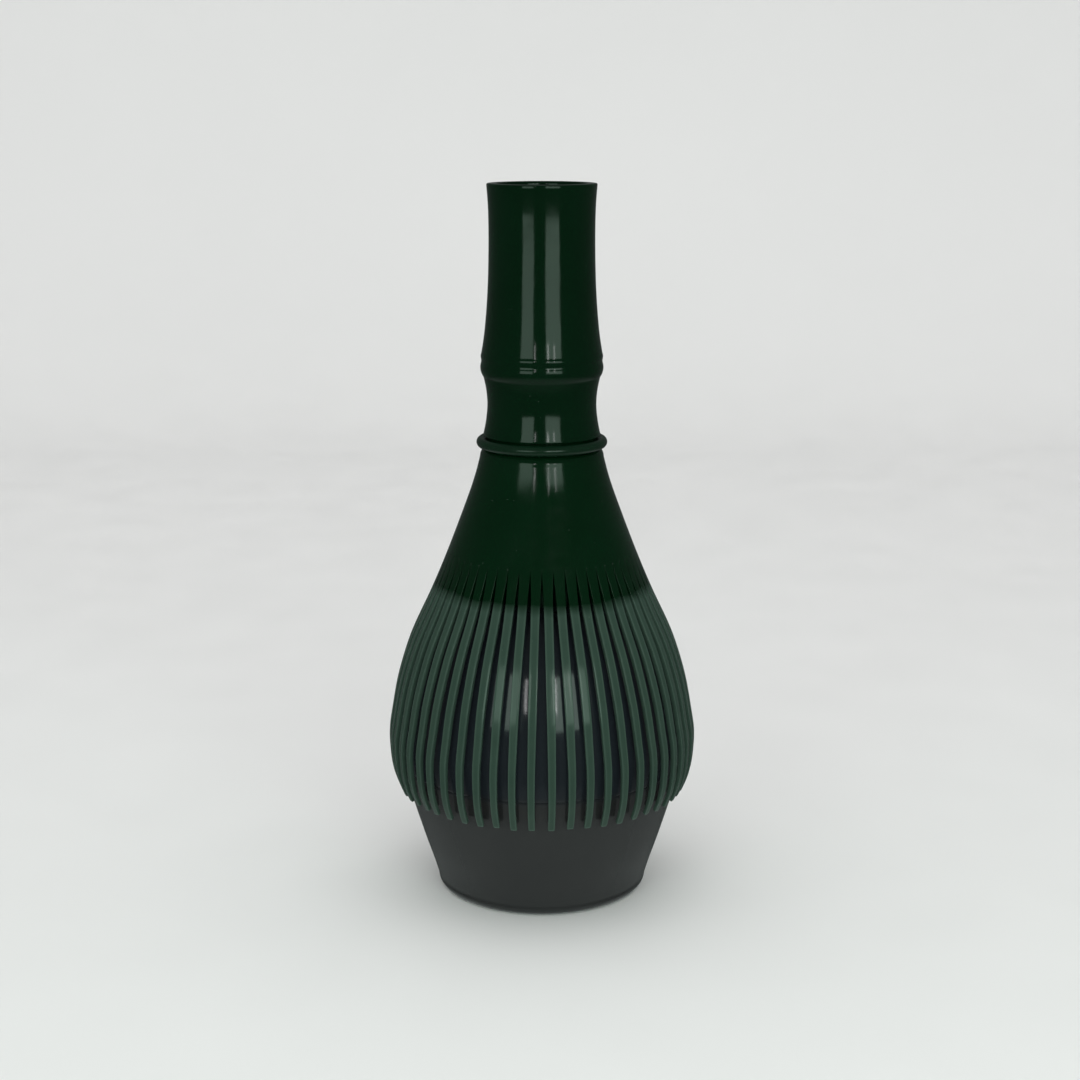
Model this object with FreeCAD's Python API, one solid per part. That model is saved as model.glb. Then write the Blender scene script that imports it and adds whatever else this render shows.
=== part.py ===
"""Moulded tea whisk standing on its whisk stand, one STEP file for each separate piece.

Millimetres, +Z up. The origin is the centre of the stand's foot, and every piece is turned
about the Z axis. The front of the object faces -Y.
"""

import FreeCAD
import Part
import math
import os

# ---- driving dimensions -------------------------------------------------------------------

TOTAL_HEIGHT = 154.6

# handle: a tube shaped like a short length of bamboo, open at the top
HANDLE_BOTTOM = 101.2
HANDLE_EDGE = 0.3
HANDLE_BORE_RADIUS = 9.4
HANDLE_BORE_FLOOR = 116.4
HANDLE_SOCKET_RADIUS = 9.55
HANDLE_SOCKET_ROOF = 113.9
HANDLE_MOUTH_CHAMFER = 0.5

# ring that covers the joint between handle and tines
RING_RADIUS = 13.0
RING_HEIGHT = 99.8
RING_TUBE_RADIUS = 1.1

# outer tines: a conical skirt slit into tines, with a collar that goes up into the handle
TINE_COUNT = 54
TINE_PITCH_DEG = 360.0 / TINE_COUNT
SLIT_TOP = 76.0
TIP_CORNER_RADIUS = 0.35
COLLAR_RADIUS = 9.52
COLLAR_TOP = 112.4
COLLAR_BORE_RADIUS = 7.6
NECK_RADIUS = 11.88
NECK_TOP = 101.1
SHOULDER_HEIGHT = 98.6
WEB_UNDERSIDE = 95.6

# inner tines: a plug in the collar's bore, and a slim bundle of tines below it
INNER_COUNT = 24
INNER_PLUG_RADIUS = 7.57
INNER_PLUG_TOP = 109.0
INNER_PLUG_BORE_RADIUS = 5.4
INNER_FLANGE_RADIUS = 9.2
INNER_FLANGE_TOP = 95.55
INNER_FLANGE_UNDERSIDE = 93.4
INNER_SLIT_TOP = 88.0
INNER_SLIT_WIDTH = 0.8
INNER_TIP_HEIGHT = 31.0

# stand: an upper dome bonded to a lower cup
PARTING_HEIGHT = 28.8
LAP_HEIGHT = 3.0
LAP_CLEARANCE = 0.05
LAP_THICKNESS = 1.2
PARTING_CHAMFER = 0.15
MOUTH_RADIUS = 14.6
MOUTH_ROUNDING = 2.2
MOUTH_BEAD = 0.6
FOOT_RECESS = 0.8
FOOT_RECESS_RADIUS = 17.5
FLOOR_THICKNESS = 2.2

# outlines, as (radius, height) points that a smooth curve passes through
TINE_OUTSIDE = [
    (31.3, 22.6), (32.4, 25.2), (33.25, 28.5), (33.62, 32.0), (33.68, 36.0), (33.11, 40.0),
    (32.07, 46.0), (30.51, 52.0), (28.42, 58.0), (25.41, 64.5), (20.75, 75.3), (16.68, 86.0),
    (14.3, 93.0), (13.37, 96.6),
]
TINE_INSIDE = [
    (30.55, 22.6), (31.55, 25.2), (32.35, 28.5), (32.68, 32.0), (32.7, 36.0), (32.12, 40.0),
    (31.05, 46.0), (29.45, 52.0), (27.3, 58.0), (24.25, 64.5), (19.55, 75.3), (15.35, 86.0),
    (12.9, 93.0), (12.1, 95.6),
]
SLIT_HALF_WIDTH = [
    (1.12, 22.6), (1.2, 28.5), (1.15, 36.0), (0.98, 46.0), (0.87, 52.0), (0.74, 58.0),
    (0.55, 65.0), (0.36, 70.0), (0.0, 76.0),
]
STAND_OUTSIDE_LOW = [
    (23.2, 2.2), (24.35, 6.0), (25.7, 10.0), (27.3, 15.0), (28.85, 20.0), (30.1, 24.3),
    (31.1, 28.8),
]
STAND_OUTSIDE_HIGH = [
    (31.1, 28.8), (31.55, 32.0), (31.68, 36.0), (31.2, 40.0), (30.0, 46.0), (28.3, 52.0),
    (26.0, 58.0), (23.1, 63.0), (20.4, 65.7), (16.8, 67.0),
]
STAND_INSIDE_HIGH = [
    (28.8, 28.8), (29.35, 32.0), (29.55, 36.0), (29.15, 40.0), (27.95, 46.0), (26.2, 52.0),
    (23.7, 57.2), (21.0, 61.4), (18.9, 63.4), (16.4, 64.8),
]
STAND_INSIDE_LOW = [
    (21.2, 3.0), (22.4, 6.4), (23.7, 10.2), (25.25, 15.1), (26.6, 20.2), (27.3, 24.2),
    (27.55, 26.5),
]
INNER_OUTSIDE = [
    (6.1, 31.0), (6.9, 35.0), (7.3, 42.0), (7.35, 52.0), (7.1, 66.0), (6.9, 80.0), (7.3, 93.4),
]
INNER_INSIDE = [
    (5.3, 31.0), (6.0, 35.0), (6.35, 42.0), (6.35, 52.0), (5.95, 66.0), (5.6, 80.0), (5.6, 93.4),
]
HANDLE_LOWER = [
    (12.6, 101.5), (12.2, 103.3), (11.88, 105.4), (11.7, 107.8), (11.78, 109.8),
    (12.08, 112.0), (12.5, 113.9),
]
HANDLE_UPPER = [
    (12.93, 119.0), (12.5, 121.6), (12.0, 125.9), (11.55, 132.0), (11.32, 138.5),
    (11.27, 146.0), (11.45, 151.5), (11.68, 154.3),
]

AXIS_POINT = FreeCAD.Vector(0, 0, 0)
AXIS = FreeCAD.Vector(0, 0, 1)


def at(radius, height):
    """A point of an outline in the half plane that is turned about the axis."""
    return FreeCAD.Vector(radius, 0, height)


def line(start, end):
    return Part.makeLine(at(*start), at(*end))


def curve(points):
    """A smooth edge through (radius, height) points."""
    spline = Part.BSplineCurve()
    spline.interpolate([at(*p) for p in points])
    return spline.toShape()


def arc(start, middle, end):
    return Part.Arc(at(*start), at(*middle), at(*end)).toShape()


def polyline(points):
    return [line(a, b) for a, b in zip(points, points[1:])]


def turned(edges, start_deg=0.0, sweep_deg=360.0):
    """The solid swept by a closed outline turned about the axis."""
    face = Part.Face(Part.Wire(Part.__sortEdges__(edges)))
    face.rotate(AXIS_POINT, AXIS, start_deg)
    solid = face.revolve(AXIS_POINT, AXIS, sweep_deg)
    if solid.Volume < 0:
        solid.reverse()
    return solid


def make_handle():
    """Hollow handle: waist, double-ridged bamboo node, then a long barrel with an open mouth."""
    top = TOTAL_HEIGHT
    lip = HANDLE_UPPER[-1][0]
    edges = []
    edges.append(line((lip - HANDLE_EDGE, top), (HANDLE_BORE_RADIUS + HANDLE_MOUTH_CHAMFER, top)))
    edges += polyline([
        (HANDLE_BORE_RADIUS + HANDLE_MOUTH_CHAMFER, top),
        (HANDLE_BORE_RADIUS, top - HANDLE_MOUTH_CHAMFER),
        (HANDLE_BORE_RADIUS, HANDLE_BORE_FLOOR),
        (0, HANDLE_BORE_FLOOR),
        (0, HANDLE_SOCKET_ROOF),
        (HANDLE_SOCKET_RADIUS, HANDLE_SOCKET_ROOF),
        (HANDLE_SOCKET_RADIUS, HANDLE_BOTTOM),
        (HANDLE_LOWER[0][0] - HANDLE_EDGE, HANDLE_BOTTOM),
    ])
    rounded = HANDLE_EDGE * (1 - math.sqrt(0.5))
    edges.append(arc(
        (HANDLE_LOWER[0][0] - HANDLE_EDGE, HANDLE_BOTTOM),
        (HANDLE_LOWER[0][0] - rounded, HANDLE_BOTTOM + rounded),
        HANDLE_LOWER[0],
    ))
    edges.append(curve(HANDLE_LOWER))
    # the node: a lower ridge, a shallow groove and a finer upper ridge
    edges.append(arc((12.5, 113.9), (13.15, 115.6), (13.08, 116.7)))
    edges.append(arc((13.08, 116.7), (12.96, 117.3), (13.03, 117.9)))
    edges.append(arc((13.03, 117.9), (13.07, 118.4), (12.93, 119.0)))
    edges.append(curve(HANDLE_UPPER))
    edges.append(arc(
        (lip, top - HANDLE_EDGE),
        (lip - rounded, top - rounded),
        (lip - HANDLE_EDGE, top),
    ))
    return turned(edges)


def make_neck_ring():
    return Part.makeTorus(RING_RADIUS, RING_TUBE_RADIUS, at(0, RING_HEIGHT), AXIS)


def outer_tine_outline():
    """Half section of the skirt and collar before the slits are cut."""
    outside_top = TINE_OUTSIDE[-1]
    edges = [curve(TINE_OUTSIDE)]
    edges.append(arc(outside_top, (13.0, 97.9), (12.3, SHOULDER_HEIGHT)))
    edges += polyline([
        (12.3, SHOULDER_HEIGHT),
        (NECK_RADIUS, SHOULDER_HEIGHT),
        (NECK_RADIUS, NECK_TOP),
        (COLLAR_RADIUS, NECK_TOP),
        (COLLAR_RADIUS, COLLAR_TOP),
        (COLLAR_BORE_RADIUS, COLLAR_TOP),
        (COLLAR_BORE_RADIUS, WEB_UNDERSIDE),
        TINE_INSIDE[-1],
    ])
    edges.append(curve(TINE_INSIDE))
    edges.append(line(TINE_INSIDE[0], TINE_OUTSIDE[0]))
    return edges


def slit_tool():
    """One slit seen from outside: pointed at the top, flaring round the two tip corners."""
    half = SLIT_HALF_WIDTH
    foot_half, foot = half[0]
    corner = TIP_CORNER_RADIUS
    below = foot - 5.0
    rounded = corner * (1 - math.sqrt(0.5))
    sides = []
    for hand in (1, -1):
        points = [(hand * w, z) for w, z in half[1:]]
        start = (hand * foot_half, foot + corner)
        sides.append(curve([start] + points))
        sides.append(arc(
            start,
            (hand * (foot_half + rounded), foot + rounded),
            (hand * (foot_half + corner), foot),
        ))
        sides.append(line((hand * (foot_half + corner), foot), (hand * (foot_half + corner), below)))
    sides.append(line((-foot_half - corner, below), (foot_half + corner, below)))
    face = Part.Face(Part.Wire(Part.__sortEdges__(sides)))
    tool = face.extrude(FreeCAD.Vector(0, -25, 0))
    tool.translate(FreeCAD.Vector(0, -14, 0))
    return tool


def round_the_axis(tool, count, first=0.0):
    """Copies of a tool at even steps about the axis."""
    copies = []
    for n in range(count):
        copy = tool.copy()
        copy.rotate(AXIS_POINT, AXIS, first + n * 360.0 / count)
        copies.append(copy)
    return copies


def one_tine():
    """One tine, second to the right of the front centre, from its tip to the height of the slit tops."""
    left_slit = -90.0 + TINE_PITCH_DEG
    block = turned(outer_tine_outline(), left_slit, TINE_PITCH_DEG)
    slits = []
    for n in (1, 2):
        tool = slit_tool()
        tool.rotate(AXIS_POINT, AXIS, n * TINE_PITCH_DEG)
        slits.append(tool)
    above = Part.makeBox(100, 100, 100, FreeCAD.Vector(-50, -50, SLIT_TOP))
    return block.cut(slits).cut(above)


def make_outer_tines():
    """54 tines hanging from a conical skirt, with a slit at the front centre."""
    below = Part.makeBox(100, 100, SLIT_TOP, FreeCAD.Vector(-50, -50, 0))
    skirt = turned(outer_tine_outline()).cut(below)
    return skirt.multiFuse(round_the_axis(one_tine(), TINE_COUNT))


def make_inner_tines():
    """A hollow plug with a flange, and a slim bundle of tines that curls in at the tips."""
    edges = [curve(INNER_OUTSIDE)]
    edges += polyline([
        INNER_OUTSIDE[-1],
        (INNER_FLANGE_RADIUS, INNER_FLANGE_UNDERSIDE),
        (INNER_FLANGE_RADIUS, INNER_FLANGE_TOP),
        (INNER_PLUG_RADIUS, INNER_FLANGE_TOP),
        (INNER_PLUG_RADIUS, INNER_PLUG_TOP),
        (INNER_PLUG_BORE_RADIUS, INNER_PLUG_TOP),
        (INNER_PLUG_BORE_RADIUS, INNER_FLANGE_TOP),
        INNER_INSIDE[-1],
    ])
    edges.append(curve(INNER_INSIDE))
    edges.append(line(INNER_INSIDE[0], INNER_OUTSIDE[0]))
    body = turned(edges)
    depth = INNER_SLIT_TOP - INNER_TIP_HEIGHT + 5
    slit = Part.makeBox(
        INNER_SLIT_WIDTH, 8, depth,
        FreeCAD.Vector(-INNER_SLIT_WIDTH / 2, -11, INNER_TIP_HEIGHT - 5),
    )
    return body.cut(round_the_axis(slit, INNER_COUNT, 180.0 / INNER_COUNT))


def make_stand_dome():
    """Upper shell of the stand: a bulb that closes in to a rounded mouth for the inner tines."""
    rim, rim_height = STAND_OUTSIDE_HIGH[-1]
    lip_height = rim_height - MOUTH_ROUNDING
    bead_height = lip_height - 0.8
    diagonal = MOUTH_ROUNDING * math.sqrt(0.5)
    inner_foot = STAND_INSIDE_HIGH[0]
    outer_foot = STAND_OUTSIDE_HIGH[0][0]
    edges = [curve([(outer_foot + 0.03, PARTING_HEIGHT + PARTING_CHAMFER)] + STAND_OUTSIDE_HIGH[1:])]
    edges.append(arc(
        (rim, rim_height),
        (rim - diagonal, lip_height + diagonal),
        (MOUTH_RADIUS, lip_height),
    ))
    edges.append(line((MOUTH_RADIUS, lip_height), (MOUTH_RADIUS, bead_height)))
    edges.append(arc(
        (MOUTH_RADIUS, bead_height),
        (MOUTH_RADIUS + MOUTH_BEAD, bead_height - MOUTH_BEAD),
        (MOUTH_RADIUS + 2 * MOUTH_BEAD, bead_height),
    ))
    edges.append(line((MOUTH_RADIUS + 2 * MOUTH_BEAD, bead_height), STAND_INSIDE_HIGH[-1]))
    edges.append(curve(STAND_INSIDE_HIGH))
    edges += polyline([
        inner_foot,
        (outer_foot - PARTING_CHAMFER, PARTING_HEIGHT),
        (outer_foot + 0.03, PARTING_HEIGHT + PARTING_CHAMFER),
    ])
    return turned(edges)


def make_stand_base():
    """Lower shell of the stand: a cup with a recessed foot and a lap that goes up into the dome."""
    lap_outer = STAND_INSIDE_HIGH[0][0] - LAP_CLEARANCE
    lap_inner = lap_outer - LAP_THICKNESS
    lap_top = PARTING_HEIGHT + LAP_HEIGHT
    floor_top = FOOT_RECESS + FLOOR_THICKNESS
    shoulder = STAND_OUTSIDE_LOW[-1][0]
    outer_top = (shoulder - 0.04, PARTING_HEIGHT - PARTING_CHAMFER)
    edges = [curve(STAND_OUTSIDE_LOW[:-1] + [outer_top])]
    edges += polyline([
        outer_top,
        (shoulder - PARTING_CHAMFER, PARTING_HEIGHT),
        (lap_outer, PARTING_HEIGHT),
        (lap_outer, lap_top),
        (lap_inner, lap_top),
        STAND_INSIDE_LOW[-1],
    ])
    edges.append(curve(STAND_INSIDE_LOW))
    edges += polyline([
        (21.2, floor_top),
        (0, floor_top),
        (0, FOOT_RECESS),
        (FOOT_RECESS_RADIUS, FOOT_RECESS),
        (FOOT_RECESS_RADIUS + 0.8, 0),
        (21.2, 0),
    ])
    edges.append(arc((21.2, 0), (22.75, 0.75), (23.2, 2.2)))
    return turned(edges)


PIECES = {
    "handle": make_handle,
    "neck_ring": make_neck_ring,
    "outer_tines": make_outer_tines,
    "inner_tines": make_inner_tines,
    "stand_dome": make_stand_dome,
    "stand_base": make_stand_base,
}

os.makedirs("parts", exist_ok=True)
for name, make in PIECES.items():
    shape = make()
    solids = shape.Solids
    if len(solids) != 1 or not solids[0].isValid():
        raise RuntimeError(f"{name} is not one sound solid")
    box = solids[0].BoundBox
    solids[0].exportStep(f"parts/{name}.step")
    print(f"{name}: {solids[0].Volume:.0f} mm3, z {box.ZMin:.2f} to {box.ZMax:.2f}, x {box.XMax:.2f}")
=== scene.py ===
"""Looks for the moulded tea whisk on its stand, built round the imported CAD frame.

Outlines are (radius, height) in millimetres, as in the CAD model; Blender objects are in metres.
"""

import math

import bmesh
import bpy
import numpy as np
from mathutils.kdtree import KDTree
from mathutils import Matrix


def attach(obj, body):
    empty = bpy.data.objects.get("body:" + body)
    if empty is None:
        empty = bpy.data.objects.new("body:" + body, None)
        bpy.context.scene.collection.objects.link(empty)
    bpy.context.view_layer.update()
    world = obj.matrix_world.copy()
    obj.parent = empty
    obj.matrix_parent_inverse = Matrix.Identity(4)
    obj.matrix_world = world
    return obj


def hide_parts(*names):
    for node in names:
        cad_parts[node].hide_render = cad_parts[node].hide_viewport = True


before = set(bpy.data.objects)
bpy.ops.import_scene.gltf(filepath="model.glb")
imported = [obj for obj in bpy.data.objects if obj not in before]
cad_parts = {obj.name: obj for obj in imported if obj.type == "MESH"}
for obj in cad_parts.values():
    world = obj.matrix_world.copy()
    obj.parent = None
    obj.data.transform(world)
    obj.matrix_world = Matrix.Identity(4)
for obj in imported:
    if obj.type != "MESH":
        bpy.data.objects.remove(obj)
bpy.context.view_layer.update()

MM = 0.001

# ---- sizes shared with the CAD model ----------------------------------------------------------

TOTAL_HEIGHT = 154.6
HANDLE_BORE_RADIUS = 9.4
HANDLE_BORE_FLOOR = 116.4
HANDLE_SOCKET_RADIUS = 9.55
HANDLE_SOCKET_ROOF = 113.9
HANDLE_BOTTOM = 101.2
HANDLE_EDGE = 0.3
HANDLE_LOWER = [
    (12.6, 101.5), (12.2, 103.3), (11.88, 105.4), (11.7, 107.8), (11.78, 109.8),
    (12.08, 112.0), (12.5, 113.9),
]
HANDLE_UPPER = [
    (12.93, 119.0), (12.5, 121.6), (12.0, 125.9), (11.55, 132.0), (11.32, 138.5),
    (11.27, 146.0), (11.45, 151.5), (11.68, 154.3),
]
NODE_RIDGE = [(12.5, 113.9), (13.15, 115.6), (13.08, 116.7)]
NODE_GROOVE = [(13.08, 116.7), (12.96, 117.3), (13.03, 117.9)]
NODE_UPPER_RIDGE = [(13.03, 117.9), (13.07, 118.4), (12.93, 119.0)]

RING_RADIUS = 13.0
RING_HEIGHT = 99.8
RING_TUBE_RADIUS = 1.1

TINE_COUNT = 54
PITCH = 2 * math.pi / TINE_COUNT
SLIT_TOP = 76.0
TIP_CORNER_RADIUS = 0.35
COLLAR_RADIUS = 9.52
COLLAR_TOP = 112.4
COLLAR_BORE_RADIUS = 7.6
NECK_RADIUS = 11.88
NECK_TOP = 101.1
SHOULDER_RADIUS = 12.3
SHOULDER_HEIGHT = 98.6
WEB_UNDERSIDE = 95.6
TINE_OUTSIDE = [
    (31.3, 22.6), (32.4, 25.2), (33.25, 28.5), (33.62, 32.0), (33.68, 36.0), (33.11, 40.0),
    (32.07, 46.0), (30.51, 52.0), (28.42, 58.0), (25.41, 64.5), (20.75, 75.3), (16.68, 86.0),
    (14.3, 93.0), (13.37, 96.6),
]
SLIT_HALF_WIDTH = [
    (1.12, 22.6), (1.2, 28.5), (1.15, 36.0), (0.98, 46.0), (0.87, 52.0), (0.74, 58.0),
    (0.55, 65.0), (0.36, 70.0), (0.0, 76.0),
]
THICKNESS = [(0.75, 22.6), (0.88, 28.5), (0.98, 36.0), (1.0, 58.0), (1.1, 76.0), (1.35, 93.0)]

PARTING_HEIGHT = 28.8
LAP_TOP = 31.8
LAP_OUTER_RADIUS = 28.75
LAP_INNER_RADIUS = 27.55
MOUTH_RADIUS = 14.6
MOUTH_ROUNDING = 2.2
MOUTH_BEAD = 0.6
FOOT_RADIUS = 21.2
FOOT_RECESS = 0.8
FOOT_RECESS_RADIUS = 17.5
FLOOR_TOP = 3.0
STAND_OUTSIDE_LOW = [
    (23.2, 2.2), (24.35, 6.0), (25.7, 10.0), (27.3, 15.0), (28.85, 20.0), (30.1, 24.3),
    (31.1, 28.8),
]
STAND_OUTSIDE_HIGH = [
    (31.1, 28.8), (31.55, 32.0), (31.68, 36.0), (31.2, 40.0), (30.0, 46.0), (28.3, 52.0),
    (26.0, 58.0), (23.1, 63.0), (20.4, 65.7), (16.8, 67.0),
]
STAND_INSIDE_HIGH = [
    (28.8, 28.8), (29.35, 32.0), (29.55, 36.0), (29.15, 40.0), (27.95, 46.0), (26.2, 52.0),
    (23.7, 57.2), (21.0, 61.4), (18.9, 63.4), (16.4, 64.8),
]
STAND_INSIDE_LOW = [
    (21.2, 3.0), (22.4, 6.4), (23.7, 10.2), (25.25, 15.1), (26.6, 20.2), (27.3, 24.2),
    (27.55, 26.5),
]

# ---- small irregularities and rounded edges, only in the looks --------------------------------

TINE_OUTER_EDGE = 0.11
TINE_INNER_EDGE = 0.09
TIP_ROUNDING = 0.16
LEAN_RANDOM_DEG = 0.4
LEAN_FROM_FRONT_DEG = 0.4
LEAN_FRONT_SPREAD = 0.16
LEAN_ROUND_DEG = 1.7
TINE_SAG = 0.10
TINE_SHAVE = 0.035
TINE_SHORTER = 0.16


# ---- outlines ---------------------------------------------------------------------------------

def spline(points, count):
    """Points along a natural cubic spline through an outline's points."""
    p = np.array(points, float)
    d = np.r_[0, np.cumsum(np.linalg.norm(np.diff(p, axis=0), axis=1))]
    n = len(p)
    system = np.eye(n)
    right = np.zeros((n, 2))
    for i in range(1, n - 1):
        before = d[i] - d[i - 1]
        after = d[i + 1] - d[i]
        system[i, i - 1:i + 2] = before, 2 * (before + after), after
        right[i] = 6 * ((p[i + 1] - p[i]) / after - (p[i] - p[i - 1]) / before)
    bend = np.linalg.solve(system, right)
    out = []
    for t in np.linspace(0, d[-1], count):
        i = min(max(int(np.searchsorted(d, t)) - 1, 0), n - 2)
        h = d[i + 1] - d[i]
        a = (d[i + 1] - t) / h
        b = (t - d[i]) / h
        straight = a * p[i] + b * p[i + 1]
        out.append(straight + ((a**3 - a) * bend[i] + (b**3 - b) * bend[i + 1]) * h * h / 6)
    return [tuple(q) for q in out]


def arc(start, middle, end, count=9):
    """Points on the circle through three points, from start to end."""
    (ax, ay), (bx, by), (cx, cy) = start, middle, end
    d = 2 * (ax * (by - cy) + bx * (cy - ay) + cx * (ay - by))
    a2, b2, c2 = ax * ax + ay * ay, bx * bx + by * by, cx * cx + cy * cy
    ux = (a2 * (by - cy) + b2 * (cy - ay) + c2 * (ay - by)) / d
    uy = (a2 * (cx - bx) + b2 * (ax - cx) + c2 * (bx - ax)) / d
    radius = math.hypot(ax - ux, ay - uy)
    t0 = math.atan2(ay - uy, ax - ux)
    t1 = math.atan2(by - uy, bx - ux)
    t2 = math.atan2(cy - uy, cx - ux)
    turn = (t2 - t0) % (2 * math.pi)
    if (t1 - t0) % (2 * math.pi) > turn:
        turn -= 2 * math.pi
    steps = [t0 + turn * k / (count - 1) for k in range(count)]
    return [(ux + radius * math.cos(t), uy + radius * math.sin(t)) for t in steps]


def corner(before, at, after, radius, count=5):
    """A rounded corner between two straight runs, with a close point on each side to keep them flat."""
    p, q, r = (np.array(v, float) for v in (before, at, after))
    u = (p - q) / np.linalg.norm(p - q)
    v = (r - q) / np.linalg.norm(r - q)
    half = math.acos(max(-1, min(1, float(u @ v)))) / 2
    reach = radius / math.tan(half)
    centre = q + (u + v) / np.linalg.norm(u + v) * radius / math.sin(half)
    start, end = q + u * reach, q + v * reach
    middle = centre + (q - centre) / np.linalg.norm(q - centre) * radius
    inside = arc(tuple(start), tuple(middle), tuple(end), count)
    return [tuple(q + u * reach * 1.6)] + inside + [tuple(q + v * reach * 1.6)]


def value_at(table, height):
    """Value at a height, read off a list of (value, height) with straight lines between."""
    heights = [h for _, h in table]
    return float(np.interp(height, heights, [v for v, _ in table]))


# ---- meshes -----------------------------------------------------------------------------------

def new_object(name, vertices, faces, material):
    mesh = bpy.data.meshes.new(name)
    mesh.from_pydata([tuple(c * MM for c in v) for v in vertices], [], faces)
    bm = bmesh.new()
    bm.from_mesh(mesh)
    bmesh.ops.remove_doubles(bm, verts=bm.verts, dist=2e-6)
    bmesh.ops.recalc_face_normals(bm, faces=bm.faces)
    bm.to_mesh(mesh)
    bm.free()
    mesh.shade_smooth()
    mesh.set_sharp_from_angle(angle=math.radians(38))
    mesh.materials.append(material)
    obj = bpy.data.objects.new(name, mesh)
    bpy.context.collection.objects.link(obj)
    return obj


def lathe(name, outline, material, segments=192, closed=True):
    """A closed outline, or one that starts and ends on the axis, turned about Z."""
    vertices, faces, rings = [], [], []
    for r, z in outline:
        if r < 1e-6:
            rings.append([len(vertices)] * segments)
            vertices.append((0, 0, z))
            continue
        rings.append(list(range(len(vertices), len(vertices) + segments)))
        for k in range(segments):
            a = 2 * math.pi * k / segments
            vertices.append((r * math.cos(a), r * math.sin(a), z))
    pairs = list(zip(rings, rings[1:]))
    if closed:
        pairs.append((rings[-1], rings[0]))
    for low, high in pairs:
        for k in range(segments):
            n = (k + 1) % segments
            face = []
            for v in (low[k], low[n], high[n], high[k]):
                if v not in face:
                    face.append(v)
            if len(face) > 2:
                faces.append(face)
    return new_object(name, vertices, faces, material)


def wobble(k, seed):
    """A fixed pseudo-random number from -1 to 1 for each tine."""
    return 2 * ((math.sin(k * 12.9898 + seed * 78.233) * 43758.5453) % 1.0) - 1


def smoothstep(x):
    x = max(0.0, min(1.0, x))
    return x * x * (3 - 2 * x)


def make_handle(material):
    """Handle from the bore's floor, up over the rounded mouth, down the outside and into the socket."""
    top = TOTAL_HEIGHT
    lip = HANDLE_UPPER[-1][0]
    bore = HANDLE_BORE_RADIUS
    outline = [(0, HANDLE_BORE_FLOOR)]
    outline += corner((0, HANDLE_BORE_FLOOR), (bore, HANDLE_BORE_FLOOR), (bore, top), 0.6)
    outline += corner((bore, HANDLE_BORE_FLOOR), (bore, top), (lip, top), 0.5)
    outline.append((lip - HANDLE_EDGE - 0.15, top))
    rounded = HANDLE_EDGE * (1 - math.sqrt(0.5))
    outline += arc(
        (lip - HANDLE_EDGE, top), (lip - rounded, top - rounded), (lip, top - HANDLE_EDGE), 6
    )
    outline += spline(HANDLE_UPPER, 70)[::-1][1:]
    outline += arc(*NODE_UPPER_RIDGE[::-1], 8)[1:]
    outline += arc(*NODE_GROOVE[::-1], 8)[1:]
    outline += arc(*NODE_RIDGE[::-1], 14)[1:]
    outline += spline(HANDLE_LOWER, 40)[::-1][1:]
    foot = HANDLE_LOWER[0][0]
    outline += arc(
        HANDLE_LOWER[0],
        (foot - rounded, HANDLE_BOTTOM + rounded),
        (foot - HANDLE_EDGE, HANDLE_BOTTOM),
        6,
    )[1:]
    outline += [
        (HANDLE_SOCKET_RADIUS, HANDLE_BOTTOM),
        (HANDLE_SOCKET_RADIUS, HANDLE_SOCKET_ROOF),
        (0, HANDLE_SOCKET_ROOF),
    ]
    return lathe("handle_shell", outline, material, closed=False)


def make_ring(material):
    """The round-section ring that covers the joint."""
    count = 40
    outline = []
    for k in range(count):
        a = 2 * math.pi * k / count
        outline.append((
            RING_RADIUS + RING_TUBE_RADIUS * math.cos(a),
            RING_HEIGHT + RING_TUBE_RADIUS * math.sin(a),
        ))
    return lathe("joint_ring", outline, material)


def tine_rows():
    """Stations from the slit tops to the tips: (radius, height, outward normal, distance to tip)."""
    fine = spline(TINE_OUTSIDE, 1400)
    below = [p for p in fine if p[1] <= SLIT_TOP]
    steps = np.linalg.norm(np.diff(np.array(below), axis=0), axis=1)
    along = np.r_[0, np.cumsum(steps)]
    wanted = [0.0, 0.04, 0.09, 0.16, 0.25, 0.36, 0.6, 1.0, 1.8]
    length = float(along[-1])
    wanted += list(np.linspace(3.0, length - 14.0, 34))
    wanted += list(length - np.array([12.5, 11.0, 9.5, 8.0, 6.5, 5.2, 4.0, 3.0, 2.1, 1.3, 0.7, 0.3, 0.0]))
    rows = []
    for d in wanted:
        r = float(np.interp(d, along, [p[0] for p in below]))
        z = float(np.interp(d, along, [p[1] for p in below]))
        r0, r1 = (float(np.interp(d + s, along, [p[0] for p in below])) for s in (-0.5, 0.5))
        z0, z1 = (float(np.interp(d + s, along, [p[1] for p in below])) for s in (-0.5, 0.5))
        size = math.hypot(r1 - r0, z1 - z0)
        rows.append((r, z, ((z1 - z0) / size, -(r1 - r0) / size), d))
    return rows


def quarter(radius, x):
    """How far a rounded end of that radius has drawn in at distance x from the end."""
    if x >= radius:
        return 0.0
    return radius - math.sqrt(max(0.0, radius * radius - (radius - x) ** 2))


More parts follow.
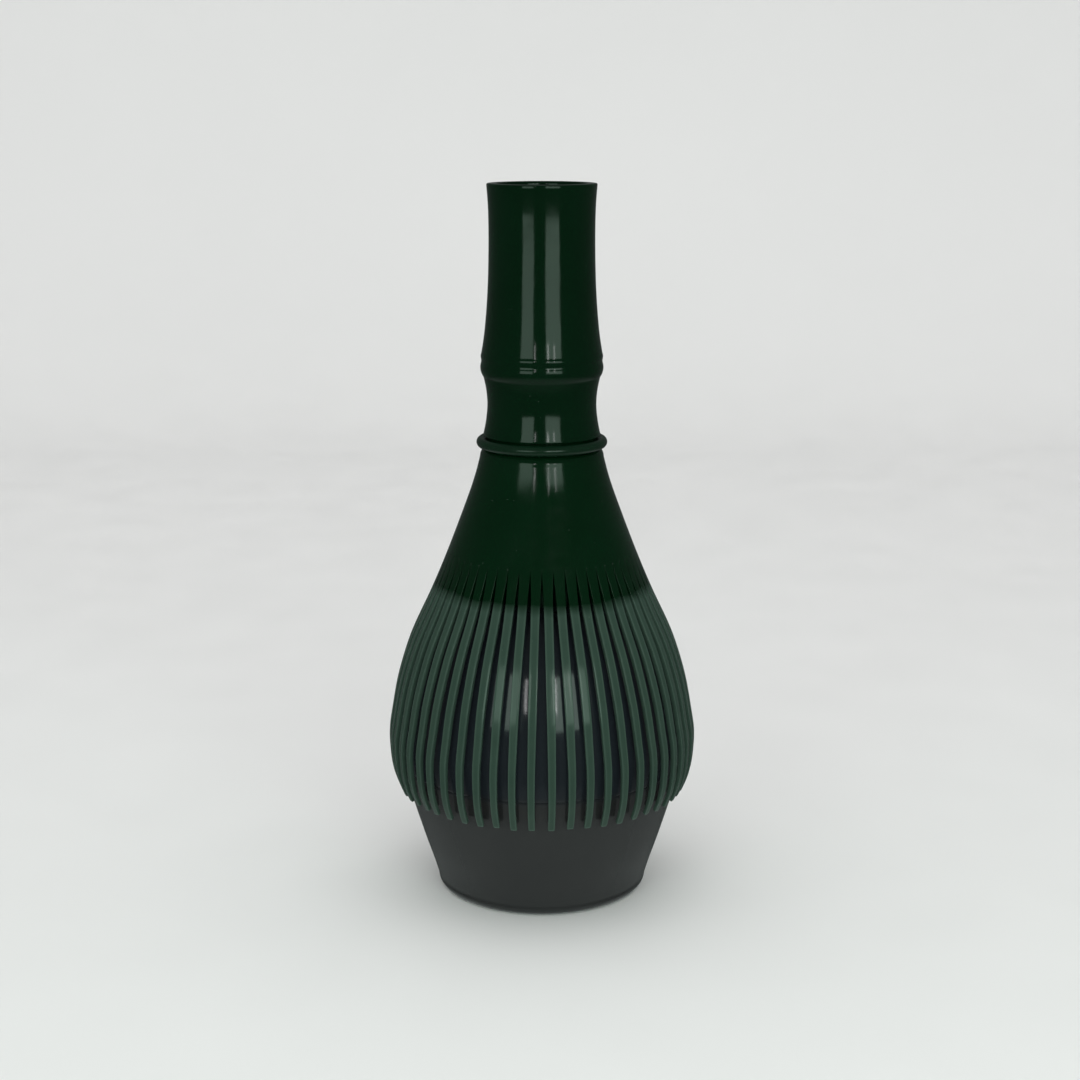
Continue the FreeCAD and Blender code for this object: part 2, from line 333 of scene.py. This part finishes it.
def tine_section(row, shave):
    """Points round one tine's section: (angle from its middle, radius, height, weight of the painted edge
    highlight).
    """
    r, z, (nr, nz), d = row
    thick = value_at(THICKNESS, z)
    slit = value_at(SLIT_HALF_WIDTH, z) + shave * smoothstep((SLIT_TOP - z) / 14)
    draw_in = quarter(TIP_CORNER_RADIUS, d)
    end = quarter(TIP_ROUNDING, d)
    edge = min(TINE_OUTER_EDGE, 0.45 * slit)
    inner_edge = min(TINE_INNER_EDGE, 0.45 * slit)

    def place(a, depth, light):
        rho = r - depth * nr
        half = PITCH / 2 - math.asin(min(0.9, (slit + draw_in) / rho))
        return (math.copysign(1, a) * half * abs(a) if a else 0.0, rho, z - depth * nz, light)

    def side(hand, radius, face_depth, inward):
        """One rounded edge, as (fraction of half width, depth), where inward is 1 or -1."""
        half = PITCH / 2 * r - slit - draw_in
        out = []
        for t in (0, 30, 60, 90):
            in_from_side = radius * (1 - math.cos(math.radians(t)))
            in_from_face = radius * (1 - math.sin(math.radians(t)))
            out.append((hand * (1 - in_from_side / half), face_depth + inward * in_from_face))
        return out

    top = end
    bottom = thick - end
    left = side(-1, edge, top, 1)
    right = side(1, edge, top, 1)[::-1]
    flat_left, flat_right = left[-1][0], right[0][0]
    outer = [place(a, x, 1.0) for a, x in left]
    outer += [place(a, top, 0.0) for a in (flat_left / 2, 0.0, flat_right / 2)]
    outer += [place(a, x, 1.0) for a, x in right]
    low_right = side(1, inner_edge, bottom, -1)
    low_left = side(-1, inner_edge, bottom, -1)[::-1]
    inner = [place(a, x, 0.6) for a, x in low_right]
    inner += [place(a, bottom, 0.0) for a in (low_right[-1][0] / 2, 0.0, low_left[0][0] / 2)]
    inner += [place(a, x, 0.6) for a, x in low_left]
    return outer + inner


def make_outer_tines(material):
    """Skirt and tines as one mesh, each tine with rounded edges, a rounded tip and its own slight lean."""
    rows = tine_rows()
    vertices, faces, light = [], [], []
    for k in range(TINE_COUNT):
        middle = (k + 0.5) * PITCH
        off_front = (middle + math.pi) % (2 * math.pi) - math.pi
        near_front = math.exp(-((off_front / LEAN_FRONT_SPREAD) ** 2))
        front = near_front * math.copysign(LEAN_FROM_FRONT_DEG, off_front)
        spread = LEAN_ROUND_DEG * math.sin(2 * off_front)
        lean = math.radians(LEAN_RANDOM_DEG * wobble(k, 1) + front + spread)
        sag = TINE_SAG * (1 + wobble(k, 2))
        shave = TINE_SHAVE * wobble(k, 3)
        short = TINE_SHORTER * (1 + wobble(k, 4))
        first = len(vertices)
        for row in rows:
            _, z, _, d = row
            free = smoothstep((SLIT_TOP - 6 - z) / 46)
            section = tine_section(row, shave)
            count = len(section)
            for a, rho, height, edge in section:
                rise = short * smoothstep(1 - d / 12)
                angle = middle + a + lean * free
                radius = rho + sag * free
                vertices.append((radius * math.sin(angle), -radius * math.cos(angle), height + rise))
                # Painted highlight: the tine edges and the tips get a weight that lightens their colour in
                # the material.
                near_tip = 1.0 - smoothstep(d / 0.5)
                light.append(max(0.35 * edge * min(1, (SLIT_TOP - z) / 4), near_tip))
        for i in range(len(rows) - 1):
            for j in range(count):
                n = (j + 1) % count
                a, b = first + i * count, first + (i + 1) * count
                faces.append((a + j, a + n, b + n, b + j))
        tip = [first + j for j in range(count)]
        centre = np.mean([vertices[v] for v in tip], axis=0)
        vertices.append(tuple(centre))
        light.append(1.0)
        faces += [(tip[j], len(vertices) - 1, tip[(j + 1) % count]) for j in range(count)]
    skirt_outline = skirt_rings()
    steps = (-0.5, -0.25, 0.0, 0.25)
    angles = [(k + 0.5 + s) * PITCH for k in range(TINE_COUNT) for s in steps]
    first = len(vertices)
    for r, z in skirt_outline:
        for a in angles:
            vertices.append((r * math.sin(a), -r * math.cos(a), z))
            light.append(0.0)
    size = len(angles)
    for i in range(len(skirt_outline) - 1):
        for j in range(size):
            n = (j + 1) % size
            a, b = first + i * size, first + (i + 1) * size
            faces.append((a + j, a + n, b + n, b + j))
    obj = new_object("tine_skirt", vertices, faces, material)
    paint_edge_highlight(obj, vertices, light)
    return obj


def skirt_rings():
    """Half section of the skirt and collar, from the outside at the slit tops round to the inside."""
    fine = spline(TINE_OUTSIDE, 1400)
    top_row = tine_rows()[-1]
    outside = [(top_row[0], top_row[1])] + [p for p in fine if p[1] > SLIT_TOP + 0.3][::14]
    end = TINE_OUTSIDE[-1]
    outline = [p for p in outside if p[1] < end[1] - 0.3]
    outline += arc(end, (13.0, 97.9), (SHOULDER_RADIUS, SHOULDER_HEIGHT), 7)
    outline += [
        (NECK_RADIUS, SHOULDER_HEIGHT), (NECK_RADIUS, NECK_TOP), (COLLAR_RADIUS, NECK_TOP),
        (COLLAR_RADIUS, COLLAR_TOP), (COLLAR_BORE_RADIUS, COLLAR_TOP),
        (COLLAR_BORE_RADIUS, WEB_UNDERSIDE), (12.1, WEB_UNDERSIDE),
    ]
    inside = []
    for i in range(1, len(outside) - 1):
        (r0, z0), (r, z), (r1, z1) = outside[i - 1:i + 2]
        size = math.hypot(r1 - r0, z1 - z0)
        thick = value_at(THICKNESS, z)
        inside.append((r - thick * (z1 - z0) / size, z + thick * (r1 - r0) / size))
    thick = value_at(THICKNESS, SLIT_TOP)
    nr, nz = top_row[2]
    inside = [q for q in inside if SLIT_TOP - 0.2 < q[1] < WEB_UNDERSIDE - 0.8]
    outline += inside[::-1]
    outline.append((top_row[0] - thick * nr, top_row[1] - thick * nz))
    return outline


def paint_edge_highlight(obj, vertices, light):
    """Stores each vertex's weight of the painted highlight on the tine edges and tips, found again by
    place after doubles are merged.
    """
    tree = KDTree(len(vertices))
    for i, v in enumerate(vertices):
        tree.insert(tuple(c * MM for c in v), i)
    tree.balance()
    layer = obj.data.attributes.new("edge", "FLOAT", "POINT")
    for v in obj.data.vertices:
        layer.data[v.index].value = light[tree.find(v.co)[1]]


def make_stand_dome(material):
    """Upper shell, from its softened lower edge over the rounded mouth and down the inside."""
    rim, rim_height = STAND_OUTSIDE_HIGH[-1]
    lip_height = rim_height - MOUTH_ROUNDING
    bead_height = lip_height - 0.8
    diagonal = MOUTH_ROUNDING * math.sqrt(0.5)
    outline = [(30.98, PARTING_HEIGHT), (31.08, PARTING_HEIGHT + 0.05)]
    high = [(31.13, PARTING_HEIGHT + 0.16)] + STAND_OUTSIDE_HIGH[1:]
    outline += spline(high, 90)
    outline += arc(
        (rim, rim_height),
        (rim - diagonal, lip_height + diagonal),
        (MOUTH_RADIUS, lip_height),
        10,
    )[1:]
    outline += arc(
        (MOUTH_RADIUS, bead_height),
        (MOUTH_RADIUS + MOUTH_BEAD, bead_height - MOUTH_BEAD),
        (MOUTH_RADIUS + 2 * MOUTH_BEAD, bead_height),
        8,
    )
    outline += spline(STAND_INSIDE_HIGH, 60)[::-1]
    return lathe("stand_upper", outline, material, segments=240)


def make_stand_base(material):
    """Lower shell, from the foot up the outside, over the lap and down to the recessed underside."""
    low = STAND_OUTSIDE_LOW[:-1] + [(31.06, PARTING_HEIGHT - 0.16)]
    outline = arc((FOOT_RADIUS, 0), (22.75, 0.75), STAND_OUTSIDE_LOW[0], 12)
    outline += spline(low, 60)[1:]
    outline += [(31.03, PARTING_HEIGHT - 0.05), (30.95, PARTING_HEIGHT)]
    outline += [(LAP_OUTER_RADIUS, PARTING_HEIGHT), (LAP_OUTER_RADIUS, LAP_TOP)]
    outline.append((LAP_INNER_RADIUS, LAP_TOP))
    outline += spline(STAND_INSIDE_LOW, 40)[::-1]
    outline += [(0, FLOOR_TOP)]
    recess = (FOOT_RECESS_RADIUS, FOOT_RECESS)
    under = [(0, FOOT_RECESS), recess]
    under += corner(recess, (FOOT_RECESS_RADIUS + 0.8, 0.0), (FOOT_RADIUS, 0.0), 0.15)
    return lathe("stand_lower", outline + under, material, segments=240)


# ---- materials --------------------------------------------------------------------------------

class Nodes:
    """A material's node tree, with short calls for the few node kinds that are used."""

    def __init__(self, name):
        self.material = bpy.data.materials.new(name)
        self.material.use_nodes = True
        self.tree = self.material.node_tree
        self.bsdf = self.tree.nodes["Principled BSDF"]
        coordinates = self.tree.nodes.new("ShaderNodeTexCoord")
        self.place = coordinates.outputs["Object"]

    def link(self, source, target):
        self.tree.links.new(source, target)

    def noise(self, scale, detail=3.0, stretch=None, rough=0.5):
        node = self.tree.nodes.new("ShaderNodeTexNoise")
        node.inputs["Scale"].default_value = scale
        node.inputs["Detail"].default_value = detail
        node.inputs["Roughness"].default_value = rough
        place = self.place
        if stretch:
            mapping = self.tree.nodes.new("ShaderNodeMapping")
            mapping.inputs["Scale"].default_value = stretch
            self.link(self.place, mapping.inputs["Vector"])
            place = mapping.outputs["Vector"]
        self.link(place, node.inputs["Vector"])
        return node.outputs["Fac"]

    def specks(self, scale, size):
        """Small scattered dots, 1 in a dot and 0 elsewhere."""
        node = self.tree.nodes.new("ShaderNodeTexVoronoi")
        node.inputs["Scale"].default_value = scale
        self.link(self.place, node.inputs["Vector"])
        return self.ramp(node.outputs["Distance"], size, size * 0.5, 0.0, 1.0)

    def ramp(self, source, low, high, to_low, to_high):
        """Linear change from to_low at low to to_high at high, clamped."""
        node = self.tree.nodes.new("ShaderNodeMapRange")
        node.inputs["From Min"].default_value = low
        node.inputs["From Max"].default_value = high
        node.inputs["To Min"].default_value = to_low
        node.inputs["To Max"].default_value = to_high
        self.link(source, node.inputs["Value"])
        return node.outputs["Result"]

    def height(self):
        node = self.tree.nodes.new("ShaderNodeSeparateXYZ")
        self.link(self.place, node.inputs["Vector"])
        return node.outputs["Z"]

    def attribute(self, name):
        node = self.tree.nodes.new("ShaderNodeAttribute")
        node.attribute_name = name
        return node.outputs["Fac"]

    def math(self, kind, a, b):
        node = self.tree.nodes.new("ShaderNodeMath")
        node.operation = kind
        for socket, value in zip(node.inputs, (a, b)):
            if isinstance(value, (int, float)):
                socket.default_value = value
            else:
                self.link(value, socket)
        return node.outputs["Value"]

    def mix(self, amount, a, b):
        node = self.tree.nodes.new("ShaderNodeMix")
        node.data_type = "RGBA"
        self.link(amount, node.inputs[0])
        for socket, value in zip((node.inputs[6], node.inputs[7]), (a, b)):
            if isinstance(value, tuple):
                socket.default_value = (*value, 1.0)
            else:
                self.link(value, socket)
        return node.outputs[2]

    def bump(self, *layers):
        """Stacks (height socket, distance in metres) layers on the normal."""
        normal = None
        for height, distance in layers:
            node = self.tree.nodes.new("ShaderNodeBump")
            node.inputs["Strength"].default_value = 1.0
            node.inputs["Distance"].default_value = distance
            self.link(height, node.inputs["Height"])
            if normal:
                self.link(normal, node.inputs["Normal"])
            normal = node.outputs["Normal"]
        self.link(normal, self.bsdf.inputs["Normal"])

    def finish(self, colour, roughness, ior):
        self.link(colour, self.bsdf.inputs["Base Color"])
        self.link(roughness, self.bsdf.inputs["Roughness"])
        self.bsdf.inputs["IOR"].default_value = ior
        return self.material


def handle_plastic():
    """Deep green polished plastic with faint cloudiness, hairline marks and a little dust."""
    n = Nodes("handle_green")
    cloud = n.noise(55, 4)
    colour = n.mix(cloud, (0.0003, 0.0070, 0.0018), (0.0012, 0.0115, 0.0042))
    colour = n.mix(n.math("MULTIPLY", n.specks(420, 0.05), 0.25), colour, (0.10, 0.14, 0.12))
    hair = n.noise(1, 4, (2600, 2600, 60), 0.6)
    roughness = n.ramp(n.noise(190, 3), 0.3, 0.7, 0.07, 0.13)
    n.bump((n.noise(120, 2), 0.00006), (hair, 0.000004))
    return n.finish(colour, roughness, 1.30)


def ring_plastic():
    n = Nodes("ring_green")
    colour = n.mix(n.noise(160, 3), (0.0018, 0.0120, 0.0048), (0.0036, 0.0170, 0.0078))
    roughness = n.ramp(n.noise(300, 3), 0.3, 0.7, 0.18, 0.26)
    n.bump((n.noise(400, 2), 0.00002))
    return n.finish(colour, roughness, 1.36)


def tine_plastic():
    """Green plastic, deep on the solid skirt, with a painted reflection that makes the lower tines paler
    and greyer, and a painted highlight on the tine edges and tips.
    """
    n = Nodes("tine_green")
    z = n.height()
    cloud = n.noise(70, 4)
    deep = n.mix(cloud, (0.0003, 0.0085, 0.0020), (0.0012, 0.0130, 0.0045))
    pale = n.mix(n.noise(240, 3), (0.0230, 0.0440, 0.0330), (0.0300, 0.0530, 0.0400))
    drift = n.math("MULTIPLY", n.math("SUBTRACT", cloud, 0.5), 0.004)
    # Painted reflection: from about 69 mm down to 67 mm the tines change to a paler, greyer green. This
    # stands in for a pale surface reflected on them and for haze. The deep green above is the plastic's
    # own colour.
    painted_reflection_mask = n.ramp(n.math("ADD", z, drift), 0.0693, 0.0671, 0.0, 1.0)
    colour = n.mix(painted_reflection_mask, deep, pale)
    # Painted highlight: the tine edges and tips are mixed towards a pale grey green, only where the
    # painted reflection is.
    edge = n.math("MULTIPLY", n.attribute("edge"), painted_reflection_mask)
    colour = n.mix(n.math("MULTIPLY", edge, 0.4), colour, (0.11, 0.17, 0.14))
    colour = n.mix(n.math("MULTIPLY", n.specks(420, 0.05), 0.2), colour, (0.2, 0.25, 0.22))
    roughness = n.ramp(n.noise(220, 3), 0.3, 0.7, 0.09, 0.16)
    grain = n.noise(1, 3, (1500, 1500, 120), 0.55)
    n.bump((n.noise(150, 2), 0.00005), (grain, 0.000005))
    return n.finish(colour, roughness, 1.30)


def stand_plastic():
    """Polished plastic, blue-black on the dome and a greyer black on the cup, with fine rubbing marks."""
    n = Nodes("stand_black")
    cloud = n.noise(60, 4)
    dome = n.mix(cloud, (0.0115, 0.0150, 0.0190), (0.0180, 0.0220, 0.0270))
    cup = n.mix(cloud, (0.0175, 0.0185, 0.0190), (0.0245, 0.0250, 0.0250))
    colour = n.mix(n.ramp(n.height(), 0.0300, 0.0275, 0.0, 1.0), dome, cup)
    rub = n.noise(1, 4, (420, 420, 2400), 0.6)
    roughness = n.ramp(rub, 0.35, 0.75, 0.06, 0.13)
    n.bump((n.noise(45, 2), 0.00012), (rub, 0.0000015))
    return n.finish(colour, roughness, 1.38)


def floor_material():
    n = Nodes("floor_pale")
    colour = n.mix(n.noise(6, 3), (0.79, 0.79, 0.785), (0.82, 0.82, 0.815))
    roughness = n.ramp(n.noise(40, 2), 0.3, 0.7, 0.55, 0.7)
    return n.finish(colour, roughness, 1.3)


# ---- room, light and camera -------------------------------------------------------------------

def make_backdrop():
    """A table top that curves up into a plain wall, with no line between them."""
    back, bend, top, half = 0.55, 0.35, 1.6, 1.3
    steps = [math.radians(90 * k / 24) for k in range(25)]
    profile = [(-0.9, 0.0)]
    profile += [(back + bend * math.sin(t), bend * (1 - math.cos(t))) for t in steps]
    profile.append((back + bend, top))
    vertices = []
    for y, z in profile:
        vertices += [(-half, y, z), (half, y, z)]
    faces = [(2 * i, 2 * i + 1, 2 * i + 3, 2 * i + 2) for i in range(len(profile) - 1)]
    mesh = bpy.data.meshes.new("backdrop")
    mesh.from_pydata(vertices, [], faces)
    mesh.shade_smooth()
    mesh.materials.append(floor_material())
    backdrop = bpy.data.objects.new("backdrop", mesh)
    bpy.context.collection.objects.link(backdrop)
    backdrop.visible_glossy = False


def make_world():
    """Pale to the camera and as soft light, but a dim room to reflections, with a paler table below."""
    world = bpy.data.worlds.new("studio")
    bpy.context.scene.world = world
    world.use_nodes = True
    tree = world.node_tree
    soft = tree.nodes["Background"]
    soft.inputs["Color"].default_value = (0.76, 0.76, 0.76, 1)
    direction = tree.nodes.new("ShaderNodeSeparateXYZ")
    tree.links.new(tree.nodes.new("ShaderNodeTexCoord").outputs["Generated"], direction.inputs["Vector"])
    below = tree.nodes.new("ShaderNodeMapRange")
    below.inputs["From Min"].default_value = -0.45
    below.inputs["From Max"].default_value = -0.75
    below.inputs["To Min"].default_value = 0.09
    below.inputs["To Max"].default_value = 0.45
    tree.links.new(direction.outputs["Z"], below.inputs["Value"])
    dim = tree.nodes.new("ShaderNodeBackground")
    dim.inputs["Color"].default_value = (0.9, 1.0, 0.97, 1)
    tree.links.new(below.outputs["Result"], dim.inputs["Strength"])
    path = tree.nodes.new("ShaderNodeLightPath")
    mix = tree.nodes.new("ShaderNodeMixShader")
    tree.links.new(path.outputs["Is Glossy Ray"], mix.inputs["Fac"])
    tree.links.new(soft.outputs["Background"], mix.inputs[1])
    tree.links.new(dim.outputs["Background"], mix.inputs[2])
    tree.links.new(mix.outputs["Shader"], tree.nodes["World Output"].inputs["Surface"])


def upright_light(name, azimuth, low, high, width, distance, radiance, colour=(1, 1, 1)):
    """An upright panel facing the axis. Azimuth 0 is the front; low and high are heights in metres."""
    a = math.radians(azimuth)
    tall = high - low
    data = bpy.data.lights.new(name, "AREA")
    data.shape = "RECTANGLE"
    data.size = width
    data.size_y = tall
    data.energy = radiance * math.pi * width * tall
    data.color = colour
    light = bpy.data.objects.new(name, data)
    light.location = (distance * math.sin(a), -distance * math.cos(a), 0.5 * (low + high))
    light.rotation_euler = (math.radians(90), 0, a)
    bpy.context.collection.objects.link(light)


def make_lights():
    """Two near panels for broad strips, three far tubes for narrow streaks, and a soft ceiling."""
    cool = (0.74, 1.0, 0.85)
    upright_light("panel_left", -29, 0.092, 0.29, 0.23, 0.54, 3.0, cool)
    upright_light("panel_right", 22.5, 0.092, 0.29, 0.285, 0.54, 3.4, cool)
    upright_light("tube_left", -13.4, 0.35, 0.66, 0.05, 1.4, 10.0)
    upright_light("tube_middle", 11.7, 0.34, 0.68, 0.05, 1.4, 12.0)
    upright_light("tube_right", 24, 0.35, 0.64, 0.05, 1.4, 10.0)
    data = bpy.data.lights.new("ceiling", "AREA")
    data.shape = "SQUARE"
    data.size = 1.6
    data.energy = 5
    ceiling = bpy.data.objects.new("ceiling", data)
    ceiling.location = (0, 0.1, 1.5)
    ceiling.visible_glossy = False
    bpy.context.collection.objects.link(ceiling)


def make_camera():
    data = bpy.data.cameras.new("camera")
    data.sensor_width = 36
    data.lens = 65
    data.clip_start = 0.01
    data.clip_end = 20
    camera = bpy.data.objects.new("camera", data)
    camera.location = (-0.0004, -0.415, 0.17073)
    camera.rotation_euler = (math.radians(90 - 12.6), 0, 0)
    bpy.context.collection.objects.link(camera)
    bpy.context.scene.camera = camera


# ---- the object -------------------------------------------------------------------------------

green = handle_plastic()
tine_green = tine_plastic()
stand_black = stand_plastic()

PIECES = [
    (make_handle(green), "whisk", "handle", "green_gloss"),
    (make_ring(ring_plastic()), "whisk", "neck_ring", "ring_gloss"),
    (make_outer_tines(tine_green), "whisk", "outer_tines", "green_tines"),
    (make_stand_dome(stand_black), "stand", "stand_dome", "stand_gloss"),
    (make_stand_base(stand_black), "stand", "stand_base", "stand_gloss"),
]
for piece, body, node, slot in PIECES:
    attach(piece, body)
    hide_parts(node)

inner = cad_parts["inner_tines"]
inner.data.materials.clear()
inner.data.materials.append(tine_green)

make_backdrop()
make_world()
make_lights()
make_camera()
bpy.context.scene.view_settings.view_transform = "Standard"
